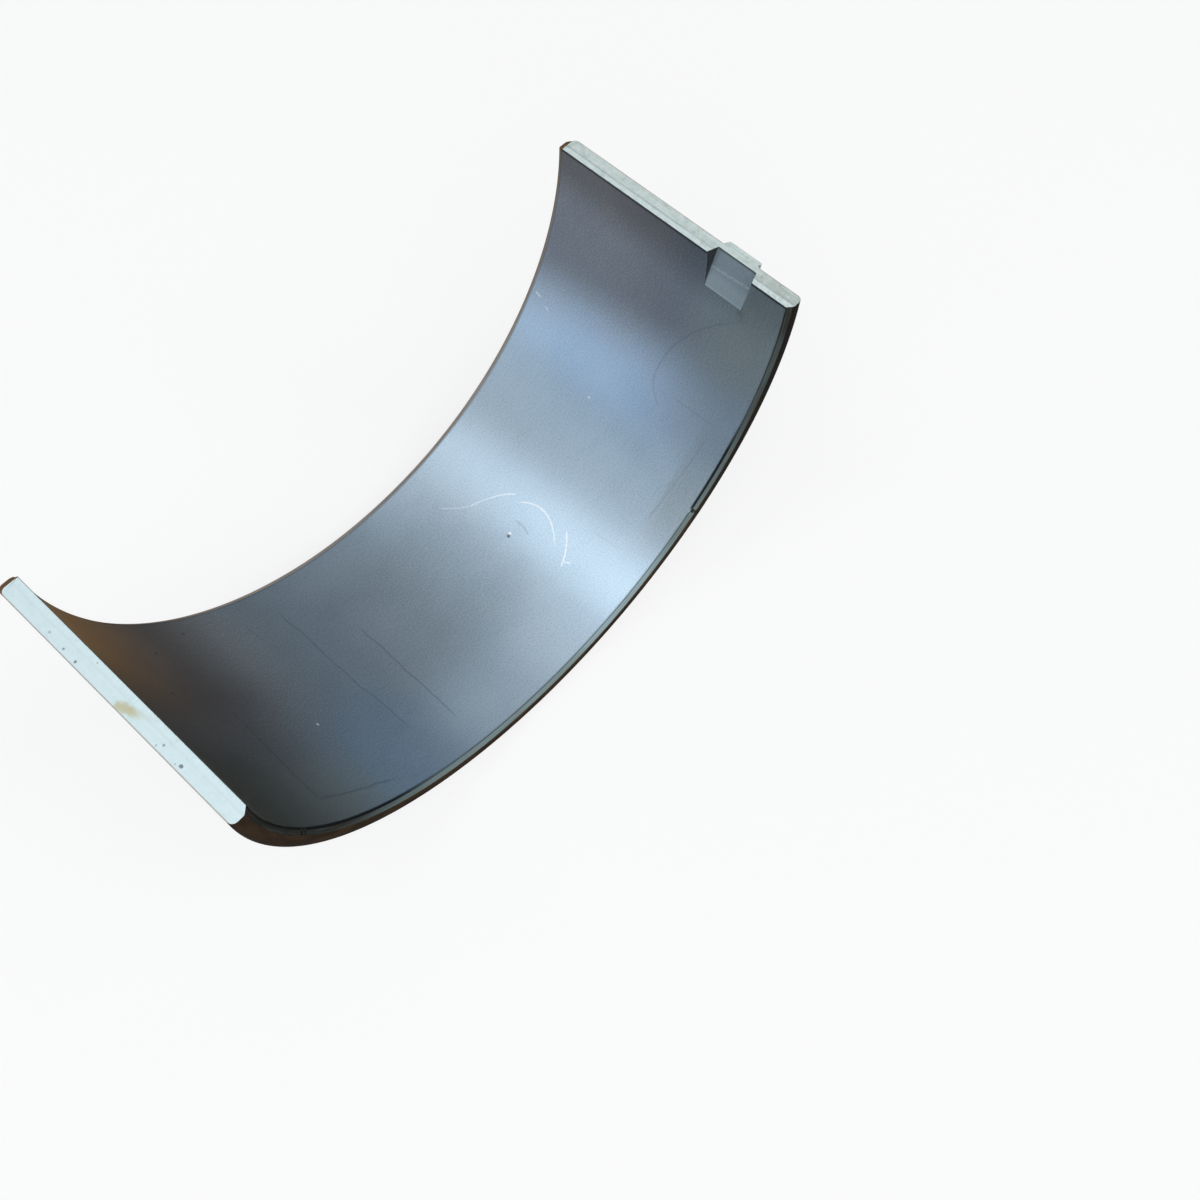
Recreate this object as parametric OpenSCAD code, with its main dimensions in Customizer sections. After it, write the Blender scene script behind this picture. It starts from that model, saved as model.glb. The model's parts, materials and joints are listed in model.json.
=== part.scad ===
// Half bearing shell for an engine journal, with a pressed locating lug.
//
// The shell lies on its back with its hollow side up. The origin is on the bore axis, in the
// parting plane and half way along the width. +Y runs along the bore axis, +Z points out of the
// parting plane and +X points to the parting face that has the lug. Units are millimetres.

/* [Bore and wall] */
// Diameter of the running surface
bore_d = 120; // [70:1:240]
// Thickness of the wall, from the running surface to the back
wall = 3.5; // [3:0.1:8]
// Width of the shell along the bore axis
width = 55; // [40:1:120]

/* [End edges] */
// Chamfer of the inner edge, measured across the wall
inner_chamfer_radial = 1.15; // [0.3:0.05:1.5]
// Chamfer of the inner edge, measured along the bore axis
inner_chamfer_axial = 0.7; // [0.2:0.05:2]
// Radius that rounds the outer edge over into the back
outer_round = 1.1; // [0.3:0.05:1.4]

/* [Locating lug] */
// Distance from the -Y end to the middle of the lug
lug_from_end = 13.7; // [9:0.1:30]
// Height of the lug above the back, at the parting face
lug_height = 1.15; // [0.4:0.05:2]
// Distance below the parting face at which the lug runs out into the back
lug_length = 6; // [3:0.1:10]
// Width of the lug's crest
lug_crest_w = 7.3; // [4:0.1:10]
// Slant of each flank of the lug, from the crest to the back
lug_flank = 0.45; // [0:0.05:1]
// Radius on the long edges of the lug's crest
lug_edge_r = 0.4; // [0.1:0.05:0.8]

/* [Pocket behind the lug] */
// Depth of the pocket below the running surface, at the parting face
pocket_depth = 2.3; // [1:0.05:2.4]
// Distance below the parting face at which the pocket's floor meets the running surface
pocket_length = 7.6; // [4:0.1:12]
// Width of the pocket's floor
pocket_floor_w = 8.5; // [4:0.1:12]
// Slant of each side wall, from the floor to the mouth at the parting face
pocket_flank = 0.85; // [0:0.05:1.5]

/* [Hidden] */
// Smoothness of the round surfaces
$fn = 180;
// Length by which a shape passes the surface that it cuts or joins
overlap = 1;

bore_r = bore_d / 2;
back_r = bore_r + wall;
half_width = width / 2;
lug_y = lug_from_end - half_width;

// Distance from the bore axis of the point on a circle that lies a given drop below the axis
function out_at(r, drop) = sqrt(r * r - drop * drop);
// Lean of a line that starts outside a circle, level with the axis, and meets it further down
function lean_of(start, r, drop) = atan2(start - out_at(r, drop), drop);

crest_r = back_r + lug_height;
crest_lean = lean_of(crest_r, back_r, lug_length);
floor_r = bore_r + pocket_depth;
floor_lean = lean_of(floor_r, bore_r, pocket_length);

// Section of the wall, with the radius across and the bore axis upward. The inner corners are
// chamfered and the outer corners are rounded over.
module wall_section() {
    difference() {
        polygon([
            [bore_r, inner_chamfer_axial - half_width],
            [bore_r + inner_chamfer_radial, -half_width],
            [back_r, -half_width],
            [back_r, half_width],
            [bore_r + inner_chamfer_radial, half_width],
            [bore_r, half_width - inner_chamfer_axial]
        ]);
        for (flip = [0, 1]) {
            mirror([0, flip]) {
                translate([back_r - outer_round, half_width - outer_round]) {
                    rounded_off(outer_round, 0);
                }
            }
        }
    }
}

// Waste outside the arc that rounds a corner. The arc's centre is at the origin, and the corner
// lies up and to the right of it. The corner's upper side rises to the left by the given angle.
module rounded_off(radius, lean) {
    difference() {
        translate([radius * sin(lean), 0]) {
            square(radius + overlap);
        }
        circle(r = radius);
    }
}

// Half a ring of the wall, below the parting plane
module half_ring() {
    rotate([-90, 0, 0]) {
        rotate_extrude(angle = 180) {
            wall_section();
        }
    }
}

// Bar of a given section that leans toward the bore axis as it goes down. The section's first
// axis points outward, and its origin crosses the parting plane at the given radius.
module leaning_bar(radius, lean, drop) {
    reach = drop / cos(lean) + overlap;
    translate([radius, lug_y, 0]) {
        rotate([0, lean, 0]) {
            translate([0, 0, -reach]) {
                linear_extrude(2 * reach) {
                    children();
                }
            }
        }
    }
}

// Section of the lug with its crest at the origin. The flanks spread toward the back.
module lug_section(depth) {
    spread = lug_flank / lug_height;
    lean = atan(spread);
    half_crest = lug_crest_w / 2;
    half_root = half_crest + depth * spread;
    arc_y = half_crest - lug_edge_r * tan(45 - lean / 2);
    difference() {
        polygon([
            [0, -half_crest],
            [0, half_crest],
            [-depth, half_root],
            [-depth, -half_root]
        ]);
        for (flip = [0, 1]) {
            mirror([0, flip]) {
                translate([-lug_edge_r, arc_y]) {
                    rounded_off(lug_edge_r, lean);
                }
            }
        }
    }
}

// Lug that stands out of the back at the parting face and runs out down the back. Its root
// ends at the middle of the wall.
module lug() {
    depth = lug_height + wall;
    half_box = lug_crest_w + lug_flank + wall;
    box_h = lug_length + wall;
    intersection() {
        leaning_bar(crest_r, crest_lean, lug_length) {
            lug_section(depth);
        }
        translate([0, lug_y - half_box, -box_h]) {
            cube([crest_r + overlap, 2 * half_box, box_h]);
        }
        rotate([-90, 0, 0]) {
            difference() {
                cylinder(r = crest_r + overlap, h = width, center = true);
                cylinder(r = back_r - wall / 2, h = width + overlap, center = true);
            }
        }
    }
}

// Wedge left in the running surface behind the lug, with a flat floor and slanted side walls
module pocket() {
    reach = pocket_depth + overlap;
    half_floor = pocket_floor_w / 2;
    half_mouth = half_floor + reach * pocket_flank / pocket_depth;
    leaning_bar(floor_r, floor_lean, pocket_length) {
        polygon([
            [0, -half_floor],
            [0, half_floor],
            [-reach, half_mouth],
            [-reach, -half_mouth]
        ]);
    }
}

module bearing_shell() {
    color("slategray") {
        difference() {
            union() {
                half_ring();
                lug();
            }
            pocket();
        }
    }
}

bearing_shell();
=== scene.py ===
"""Half bearing shell for an engine journal, dressed for its picture.

The shell lies on its back on a pale floor with its hollow side up. Lengths are metres in meshes
and millimetres in finishes. The lining is read as a strip: arc is the length round the bore from
its lowest line, positive toward the lugged parting face, and y runs along the bore axis. A span
gives the value at which a mask is 0 and the value at which it is full.
"""

import json
import logging
import math
from collections.abc import Mapping, Sequence
from dataclasses import dataclass, field
from enum import Enum, IntEnum
from functools import reduce
from typing import Union

import bpy
import numpy as np
from mathutils import Matrix, Vector


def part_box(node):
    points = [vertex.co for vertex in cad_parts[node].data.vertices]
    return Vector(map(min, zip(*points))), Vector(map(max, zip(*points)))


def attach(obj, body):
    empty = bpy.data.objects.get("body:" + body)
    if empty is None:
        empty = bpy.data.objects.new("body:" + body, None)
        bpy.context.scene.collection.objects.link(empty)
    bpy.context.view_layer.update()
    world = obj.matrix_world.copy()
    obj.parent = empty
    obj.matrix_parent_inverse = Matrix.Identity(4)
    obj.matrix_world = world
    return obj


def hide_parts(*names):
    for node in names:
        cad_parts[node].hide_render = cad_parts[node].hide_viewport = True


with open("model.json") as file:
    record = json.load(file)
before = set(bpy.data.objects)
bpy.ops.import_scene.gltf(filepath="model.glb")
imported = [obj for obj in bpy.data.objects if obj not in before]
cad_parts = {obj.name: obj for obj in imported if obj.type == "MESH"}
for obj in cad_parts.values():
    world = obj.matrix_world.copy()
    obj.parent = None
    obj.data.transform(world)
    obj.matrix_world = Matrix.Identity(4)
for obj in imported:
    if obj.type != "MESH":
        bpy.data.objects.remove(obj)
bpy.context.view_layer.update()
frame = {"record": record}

LOG = logging.getLogger("bearing_shell")
MM = 0.001
NOISE_MIDDLE = 0.5
NOISE_ROUGHNESS = 0.55
Colour = tuple[float, float, float, float]
Span = tuple[float, float]
Operand = Union["Num", float]
WHITE: Colour = (1.0, 1.0, 1.0, 1.0)


def tone(red: int, green: int, blue: int) -> Colour:
    """Turns a colour as a screen shows it, 0 to 255, into the linear colour of a shader.

    Args:
        red: Red as shown.
        green: Green as shown.
        blue: Blue as shown.

    Returns:
        The linear colour with full alpha.
    """
    shown = np.array([red, green, blue]) / 255.0
    linear = np.where(shown <= 0.04045, shown / 12.92, ((shown + 0.055) / 1.055) ** 2.4)
    return (*(float(part) for part in linear), 1.0)


class Num:
    """A value socket that takes part in Python sums. Each step adds one Math node."""

    def __init__(self, nodes: "Nodes", socket: bpy.types.NodeSocket) -> None:
        """Keeps the node tree that the value lives in, and its socket."""
        self.nodes = nodes
        self.socket = socket

    def __add__(self, other: Operand) -> "Num":
        """Sum of two values."""
        return self.nodes.math("ADD", self, other)

    __radd__ = __add__

    def __sub__(self, other: Operand) -> "Num":
        """Difference of two values."""
        return self.nodes.math("SUBTRACT", self, other)

    def __rsub__(self, other: Operand) -> "Num":
        """Difference of a number and this value."""
        return self.nodes.math("SUBTRACT", other, self)

    def __mul__(self, other: Operand) -> "Num":
        """Product of two values."""
        return self.nodes.math("MULTIPLY", self, other)

    __rmul__ = __mul__

    def __truediv__(self, other: Operand) -> "Num":
        """Quotient of two values."""
        return self.nodes.math("DIVIDE", self, other)

    def __rtruediv__(self, other: Operand) -> "Num":
        """Quotient of a number and this value."""
        return self.nodes.math("DIVIDE", other, self)

    def __pow__(self, other: Operand) -> "Num":
        """This value to a power."""
        return self.nodes.math("POWER", self, other)

    def __neg__(self) -> "Num":
        """This value with its sign turned."""
        return self.nodes.math("MULTIPLY", self, -1.0)

    def __abs__(self) -> "Num":
        """Size of this value."""
        return self.nodes.math("ABSOLUTE", self)

    def over(self, other: Operand) -> "Num":
        """The larger of two values."""
        return self.nodes.math("MAXIMUM", self, other)

    def positive(self) -> "Num":
        """This value, or 0 where it is below 0."""
        return self.over(0.0)

    def swing(self, share: Operand) -> "Num":
        """Share of the way by which a noise lies above its middle."""
        return (self - NOISE_MIDDLE) * share

    def atan2(self, other: Operand) -> "Num":
        """Angle whose tangent is this value over the other."""
        return self.nodes.math("ARCTAN2", self, other)

    def root(self) -> "Num":
        """Square root of this value."""
        return self.nodes.math("SQRT", self)

    def ramp(self, low: float, high: float) -> "Num":
        """Smooth step of this value.

        Args:
            low: Value at which the step is 0.
            high: Value at which the step is 1. It may be below low.

        Returns:
            The step, from 0 to 1.
        """
        node = self.nodes.add(
            "ShaderNodeMapRange",
            {"interpolation_type": "SMOOTHSTEP"},
            {"Value": self, "From Min": low, "From Max": high},
        )
        return Num(self.nodes, node.outputs[0])


class Nodes:
    """Node tree of one finish. Every node comes from add."""

    def __init__(self, name: str) -> None:
        """Makes an empty material.

        Args:
            name: Name of the material.
        """
        self.material = bpy.data.materials.new(name)
        self.material.use_nodes = True
        self.tree = self.material.node_tree
        self.tree.nodes.clear()

    def add(
        self,
        kind: str,
        settings: Mapping[str, object],
        inputs: Mapping[str | int, object],
    ) -> bpy.types.Node:
        """Adds a node, sets it up, and then fills or links its sockets.

        Args:
            kind: Type of the node.
            settings: Values of the node's own properties.
            inputs: Number, colour, Num or socket for each named or numbered input.

        Returns:
            The new node.
        """
        node = self.tree.nodes.new(kind)
        for key, value in settings.items():
            setattr(node, key, value)
        for key, value in inputs.items():
            socket = node.inputs[key]
            if isinstance(value, Num):
                self.tree.links.new(value.socket, socket)
            elif isinstance(value, bpy.types.NodeSocket):
                self.tree.links.new(value, socket)
            else:
                socket.default_value = value
        return node

    def math(self, operation: str, *operands: Operand) -> Num:
        """Result of one Math node that works an operation out on its operands."""
        node = self.add("ShaderNodeMath", {"operation": operation}, dict(enumerate(operands)))
        return Num(self, node.outputs[0])

    def place(self) -> tuple[Num, Num, Num]:
        """Place on the piece, in millimetres.

        Returns:
            The three coordinates.
        """
        spot = self.add("ShaderNodeTexCoord", {}, {}).outputs["Object"]
        parts = self.add("ShaderNodeSeparateXYZ", {}, {0: spot}).outputs
        x, y, z = (Num(self, part) / MM for part in parts)
        return x, y, z

    def noise(self, along: Operand, across: Operand, depth: Operand, detail: float) -> Num:
        """Noise over three coordinates whose unit is one blotch.

        Args:
            along: First coordinate.
            across: Second coordinate.
            depth: Third coordinate.
            detail: Number of finer layers.

        Returns:
            The noise, about 0.2 to 0.8 with its middle at 0.5.
        """
        spot = self.add("ShaderNodeCombineXYZ", {}, {0: along, 1: across, 2: depth})
        node = self.add(
            "ShaderNodeTexNoise",
            {"noise_dimensions": "3D"},
            {
                "Vector": spot.outputs[0],
                "Scale": 1.0,
                "Detail": detail,
                "Roughness": NOISE_ROUGHNESS,
            },
        )
        return Num(self, node.outputs[0])

    def layers(self, base: object, *coats: tuple[Operand, object]) -> bpy.types.NodeSocket:
        """Lays colours over each other in order.

        Args:
            base: Colour or socket underneath.
            coats: Share, from 0 to 1, and colour of each coat, the lowest first.

        Returns:
            The socket of the colour on top.
        """
        colour = base
        for share, coat in coats:
            inputs = {0: share, 6: colour, 7: coat}
            colour = self.add("ShaderNodeMix", {"data_type": "RGBA"}, inputs).outputs[2]
        return colour

    def surface(
        self,
        colour: object,
        metallic: object,
        roughness: object,
        height: Num,
        relief: float,
        grazing: Colour = WHITE,
    ) -> bpy.types.Material:
        """Closes the tree with one metal surface.

        Args:
            colour: Base colour or its socket.
            metallic: Share of bare metal.
            roughness: Roughness of the surface.
            height: Height of the fine relief, about 0 to 1.
            relief: Height of a full step of the relief, in millimetres.
            grazing: Tint of what the metal mirrors at a flat angle.

        Returns:
            The finished material.
        """
        bump = self.add("ShaderNodeBump", {}, {"Distance": relief * MM, "Height": height})
        metal = self.add(
            "ShaderNodeBsdfPrincipled",
            {},
            {
                "Base Color": colour,
                "Metallic": metallic,
                "Roughness": roughness,
                "Specular Tint": grazing,
                "Normal": bump.outputs[0],
            },
        )
        self.add("ShaderNodeOutputMaterial", {}, {0: metal.outputs[0]})
        return self.material


class Run(Enum):
    """Way in which a stroke on the lining runs."""

    AXIAL = "along the bore axis"
    ROUND = "round the bore"


@dataclass(frozen=True)
class Stroke:
    """Thin curved mark on the lining: across = offset + slope * u + bend * u * u, in mm.

    u is the way along the stroke from its middle, and across is the other coordinate. The stroke is
    full within core * width of its line and fades from tips * its half length to its ends.
    """

    run: Run
    start: float
    end: float
    offset: float
    slope: float = 0.0
    bend: float = 0.0
    width: float = 0.2
    strength: float = 1.0
    core: float = 0.25
    tips: float = 0.8

    def mask(self, arc: Num, y: Num) -> Num:
        """Share of the surface that the stroke covers.

        Args:
            arc: Length round the bore.
            y: Place along the bore axis.

        Returns:
            The strength on the stroke, falling to 0 at its sides and ends.
        """
        along, across = (y, arc) if self.run is Run.AXIAL else (arc, y)
        half = abs(self.end - self.start) / 2
        way = along - (self.start + self.end) / 2
        gap = abs(across - (way * (way * self.bend + self.slope) + self.offset))
        lean = math.hypot(1.0, self.slope)
        line = gap.ramp(self.width * lean, self.core * self.width * lean)
        return line * abs(way).ramp(half, self.tips * half) * self.strength


@dataclass(frozen=True)
class Spot:
    """Small round mark at a place on a surface, in mm. It is full within core * radius."""

    along: float
    across: float
    radius: float
    strength: float = 1.0
    core: float = 0.5

    def mask(self, along: Num, across: Num) -> Num:
        """Share of the surface that the spot covers, falling to 0 at its rim."""
        gap = ((along - self.along) ** 2.0 + (across - self.across) ** 2.0).root()
        return gap.ramp(self.radius, self.core * self.radius) * self.strength


def total(masks: Sequence[Num]) -> Num:
    """Sum of masks, in which marks that meet run together."""
    return reduce(Num.__add__, masks)


def together(masks: Sequence[Num]) -> Num:
    """Joint mask, in which the strongest holds."""
    return reduce(Num.over, masks)


@dataclass(frozen=True)
class Band:
    """Stretch of a coordinate with soft flanks: 0 up to start and from end, full in between."""

    start: float
    full: float
    fade: float
    end: float

    def mask(self, way: Num) -> Num:
        """Share of the surface that the stretch covers."""
        return way.ramp(self.start, self.full) * way.ramp(self.end, self.fade)


@dataclass(frozen=True)
class Texture:
    """Noise by its number of blotches in a millimetre each way and its number of finer layers.

    On a flat surface the third way stays at 1, so its number picks one slice of the noise.
    """

    along: float
    across: float
    deep: float
    detail: float

    def noise(self, nodes: Nodes, along: Num, across: Num, deep: Operand = 1.0) -> Num:
        """Noise at a place on the surface, which has two or three coordinates."""
        spot = (along * self.along, across * self.across, deep * self.deep)
        return nodes.noise(*spot, self.detail)


def round_arc(x: Num, z: Num, radius: float) -> Num:
    """Length round a wall from its lowest line, in mm: radius * atan2(x, -z)."""
    return x.atan2(-z) * (radius / MM)


def off_wall(x: Num, z: Num, radius: float) -> Num:
    """Distance outward from a round wall, in mm: hypot(x, z) - radius."""
    return (x * x + z * z).root() - radius / MM


AXIAL, ROUND = Run.AXIAL, Run.ROUND
LIP_BY_NICK = Band(43.5, 45.5, 58.0, 68.0)
LIP_PLAIN_SIDE: Span = (-24.0, -44.0)


def turned_over(arc: Num) -> Num:
    """Stretches of the near inner edge where the lining stands over the chamfer, where painted
    shadow darkens the edge most.
    """
    return LIP_BY_NICK.mask(arc).over(arc.ramp(*LIP_PLAIN_SIDE))


@dataclass(frozen=True)
class LiningFinish:
    """Soft grey-blue lining with bored grain, films of old oil, hairlines and scratches, under
    painted shade, highlights and reflections.
    """

    bore_r: float
    half_width: float
    base: Colour = tone(176, 196, 212)
    # Painted highlight colour of the highlight band, also laid where the bottom and the near lug
    # side are lighter.
    highlight_tone: Colour = tone(198, 219, 236)
    # Painted shade colour for the plain side and the bottom.
    shade_grey: Colour = tone(112, 112, 112)
    # Painted shade colour high on the lug side.
    relief: Colour = tone(107, 115, 127)
    # Painted shade colour for the plain side toward the far end and for the band under the lugged
    # face.
    shade_dark: Colour = tone(90, 92, 95)
    # Painted reflection colour of warm surroundings.
    brown: Colour = tone(136, 116, 96)
    film: Colour = tone(166, 168, 160)
    # Painted reflection colour: bluish light mirrored high on the lug side.
    blue_sheen: Colour = tone(180, 206, 234)
    # Painted light colour for the far end of the lining.
    glow: Colour = tone(222, 240, 255)
    bright: Colour = tone(246, 250, 252)
    dark: Colour = tone(60, 66, 72)
    grazing: Colour = tone(170, 150, 126)
    roughness: float = 0.35
    grain_height: float = 0.004
    grain: Texture = Texture(3.0, 3.0, 0.0, 3.0)
    bored: Texture = Texture(0.22, 7.0, 3.0, 1.0)
    cloud: Texture = Texture(0.09, 0.11, 7.0, 3.0)
    streak: Texture = Texture(0.03, 0.8, 11.0, 3.0)
    near_y: Span = (-4.0, -22.0)
    shade_arc: Span = (-20.0, -60.0)
    bottom_arc: Band = Band(-36.0, -16.0, 2.0, 20.0)
    far_bottom_shade_y: Span = (27.0, 12.0)
    highlight_band_arc: Band = Band(10.0, 32.0, 34.0, 54.0)
    near_lug_end_arc: Band = Band(42.0, 54.0, 62.0, 86.0)
    blue_sheen_arc: Band = Band(44.0, 56.0, 64.0, 76.0)
    glow_arc: Band = Band(2.0, 16.0, 66.0, 76.0)
    glow_y: Span = (10.0, 26.0)
    lug_side_shade_arc: Span = (58.5, 77.0)
    lug_side_shade_y: Span = (-40.0, 0.0)
    film_arc: Band = Band(30.0, 42.0, 46.0, 64.0)
    film_y: Span = (-15.0, -20.0)
    oil_plain_side: Span = (-30.0, -58.0)
    oil_lug_side: Span = (60.0, 80.0)
    plain_side_shade_arc: Span = (-30.0, -64.0)
    plain_side_shade_y: Span = (-16.0, 12.0)
    brown_arc: Span = (-58.0, -88.0)
    brown_y: Span = (-4.0, 21.0)
    under_face_arc: Span = (83.5, 92.5)
    under_face_y: Span = (-36.0, 8.0)
    burr_shadow_z: Span = (-0.45, -0.2)
    near_lip_shadow: Span = (-1.25, -1.05)
    far_lip_shadow: Span = (-1.45, -1.25)
    broken_grain: Span = (0.3, 0.5)
    lug_side_shade_stray: float = 4.0
    lug_side_shade_lean: float = 0.15
    film_stray: float = 6.0
    plain_side_shade_stray: Span = (6.0, 8.0)
    brown_stray: float = 8.0
    under_face_stray: float = 3.0
    scratches: tuple[Stroke, ...] = (
        Stroke(AXIAL, 16.7, 10.5, 14.7, -1.0, 0.05, 0.2, 0.5),
        Stroke(AXIAL, 12.3, 5.5, 21.6, -1.32, -0.12, 0.2, 0.85),
        Stroke(AXIAL, 4.5, -8.3, 25.6, 0.17, -0.08, 0.24, 0.9),
        Stroke(ROUND, 25.7, 18.9, -10.5, 0.62, 0.05, 0.24, 0.9),
        Stroke(AXIAL, -11.7, -13.2, 20.6, -0.5, 0.0, 0.24, 0.8),
        Stroke(AXIAL, 25.2, 23.6, 61.1, 0.3, 0.0, 0.22, 0.8),
        Stroke(AXIAL, 22.1, 20.7, 59.7, 0.3, 0.0, 0.18, 0.7),
    )
    faint_scratches: tuple[Stroke, ...] = (
        Stroke(ROUND, 60.9, 86.4, -9.1, -0.60, -0.030, 0.3, 0.6),
        Stroke(ROUND, 57.1, 63.0, -7.1, 0.72, -0.13, 0.3, 0.6),
        Stroke(AXIAL, -11.9, -22.3, 61.1, -0.03, 0.0, 0.25, 0.5),
        Stroke(ROUND, 37.0, 58.5, -21.0, -0.07, 0.0, 0.3, 0.5),
        Stroke(AXIAL, -12.2, -20.2, 29.1, -0.11, 0.0, 0.25, 0.4),
    )
    hairlines: tuple[Stroke, ...] = (
        Stroke(AXIAL, 21.1, -17.4, -28.2, -0.03, 0.0, 0.24, 0.8),
        Stroke(AXIAL, 8.7, -20.5, -18.4, 0.0, 0.0, 0.24, 0.9),
        Stroke(AXIAL, 20.5, 12.1, -36.3, -0.22, 0.0, 0.2, 0.5),
        Stroke(AXIAL, 2.0, -1.5, -57.4, 0.0, 0.0, 0.3, 0.6),
        Stroke(AXIAL, 0.0, -21.6, -57.5, 0.02, 0.0, 0.3, 0.8),
        Stroke(ROUND, -58.3, -38.6, -21.7, -0.11, -0.004, 0.3, 0.8),
        Stroke(AXIAL, 2.1, -2.2, 20.3, 0.1, -0.05, 0.25, 0.8),
    )
    dots: tuple[Spot, ...] = (
        Spot(17.70, 1.15, 0.45),
        Spot(49.99, 4.20, 0.4),
        Spot(-42.42, -6.11, 0.4),
    )
    pits: tuple[Spot, ...] = (
        Spot(17.10, 0.95, 0.5),
        Spot(-61.18, 18.23, 0.5, 0.7),
        Spot(-50.24, 22.56, 0.4, 0.7),
        Spot(-68.23, 7.12, 0.5, 0.7),
    )
    smudges: tuple[Spot, ...] = (
        Spot(85.81, -18.12, 1.5, 0.26, 0.0),
        Spot(84.63, -18.52, 1.4, 0.16, 0.0),
    )

    def material(self) -> bpy.types.Material:
        """Makes the lining's material.

        Returns:
            The material.
        """
        nodes = Nodes("shell_lining")
        x, y, z = nodes.place()
        arc = round_arc(x, z, self.bore_r)
        rim = self.half_width / MM
        grain, bored = self.grain.noise(nodes, arc, y), self.bored.noise(nodes, arc, y)
        cloud, streak = self.cloud.noise(nodes, arc, y), self.streak.noise(nodes, arc, y)

        near_end = y.ramp(*self.near_y)
        bottom = self.bottom_arc.mask(arc)
        # Painted shade: the plain side darkens from arc -20 to -60, and the bottom is dimmed a
        # little away from the near end.
        shade = arc.ramp(*self.shade_arc)
        far_bottom_shade = bottom * y.ramp(*self.far_bottom_shade_y) * (1.0 - near_end)
        # Painted highlight: a band between arcs 10 and 54 is laid with a paler colour, widening the
        # mirrored highlight.
        highlight_band = self.highlight_band_arc.mask(arc)
        # Lighter at the bottom of the bore, most at the near end.
        lightened = bottom * (near_end * 0.8 + 0.2)
        # Lighter on the lug side at the near end, between arcs 42 and 86.
        near_lug_end = near_end * self.near_lug_end_arc.mask(arc)
        # Painted reflection: a bluish tint between arcs 44 and 76, weaker at the near end, stands
        # in for bluish light mirrored there.
        blue_sheen = self.blue_sheen_arc.mask(arc) * (1.0 - near_end * 0.7)
        # Painted light: the far end of the lining is lightened between arcs 2 and 76.
        far_glow = y.ramp(*self.glow_y) * self.glow_arc.mask(arc)
        # Painted shade, named relief: the lining high on the lug side darkens from arc 58.5 up,
        # fading toward the near end, where it mirrors the dark plain side of the bore.
        relief = arc + cloud * self.lug_side_shade_stray + y * self.lug_side_shade_lean
        relief = relief.ramp(*self.lug_side_shade_arc) * y.ramp(*self.lug_side_shade_y)
        film = self.film_arc.mask(arc) * (y + streak * self.film_stray).ramp(*self.film_y)
        oily = near_end * arc.ramp(*self.oil_plain_side).over(arc.ramp(*self.oil_lug_side))
        # Painted shade, named tarnish: the plain side darkens from arc -30 down, toward the far
        # end, standing in for the dark it mirrors; it also turns rougher.
        stray_arc, stray_y = (cloud * stray for stray in self.plain_side_shade_stray)
        tarnish = (arc - stray_arc).ramp(*self.plain_side_shade_arc) * (y + stray_y).ramp(*self.plain_side_shade_y)
        # Painted reflection: warm brown low on the plain side at the far end stands in for warm
        # surroundings mirrored there.
        brown = (arc - cloud * self.brown_stray).ramp(*self.brown_arc) * y.ramp(*self.brown_y)
        # Painted shade: a darker band just under the lugged parting face, fading toward the near
        # end, where the lining mirrors the shell's dark edge.
        under_face = (arc + cloud * self.under_face_stray).ramp(*self.under_face_arc)
        under_face = under_face * y.ramp(*self.under_face_y)

        # Painted shadow: a dark ragged line just under the inner edge of both parting faces, cast
        # by the burr.
        burr_shadow = (z + grain * 0.3).ramp(*self.burr_shadow_z)
        # Painted shadow: dark lines along the lining's edges at both ends, strongest at the near
        # end where the lining stands over the chamfer.
        near_lip_shadow = (grain * 0.25 - y - rim).ramp(*self.near_lip_shadow)
        far_lip_shadow = (grain * 0.2 + y - rim).ramp(*self.far_lip_shadow)
        lip_shadows = (near_lip_shadow * (turned_over(arc) * 0.75 + 0.2)).over(far_lip_shadow * 0.3)
        dimmed = (shade * 0.6).over(relief * 0.6).over(tarnish * 0.9).over(under_face * 0.75)
        lighter = cloud.swing(0.22) + grain.swing(1.05) + bored.swing(0.25)

        wavy = cloud.swing(2.4) + bored.swing(0.3)
        hair = together([stroke.mask(arc + wavy, y + wavy) for stroke in self.hairlines])
        faint = together([stroke.mask(arc, y) for stroke in self.faint_scratches])
        pits = together([spot.mask(arc, y) for spot in self.pits])
        smudges = together([spot.mask(arc, y) for spot in self.smudges])
        cuts = together([mark.mask(arc, y) for mark in (*self.scratches, *self.dots)])
        broken = grain.ramp(*self.broken_grain)
        lines = (hair * 0.36).over(faint * 0.28).over(pits * 0.8) * (broken * 0.75 + 0.25)

        colour = nodes.layers(
            self.base,
            (highlight_band.over(lightened), self.highlight_tone),
            (near_lug_end, self.highlight_tone),
            (blue_sheen, self.blue_sheen),
            (far_glow * 0.25, self.glow),
            ((shade * 0.85).over(far_bottom_shade * 0.22), self.shade_grey),
            (relief * 0.95, self.relief),
            ((film * 0.34).over(oily * 0.75), self.film),
            (tarnish * 0.92, self.shade_dark),
            (brown * 0.9, self.brown),
            (under_face * 0.62, self.shade_dark),
            ((lighter * (1.0 - dimmed)).positive(), self.bright),
            ((-lighter).positive(), self.dark),
            (lip_shadows.over(burr_shadow * 0.9), self.dark),
            (lines.over(smudges), self.dark),
            (cuts * 0.8 * broken, self.bright),
        )
        roughness = self.roughness + tarnish * 0.2 + grain.swing(0.16)
        height = grain * 0.6 + bored * 0.4 - hair * 0.5 - cuts * 0.3
        return nodes.surface(colour, 1.0, roughness, height, self.grain_height, self.grazing)


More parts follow.
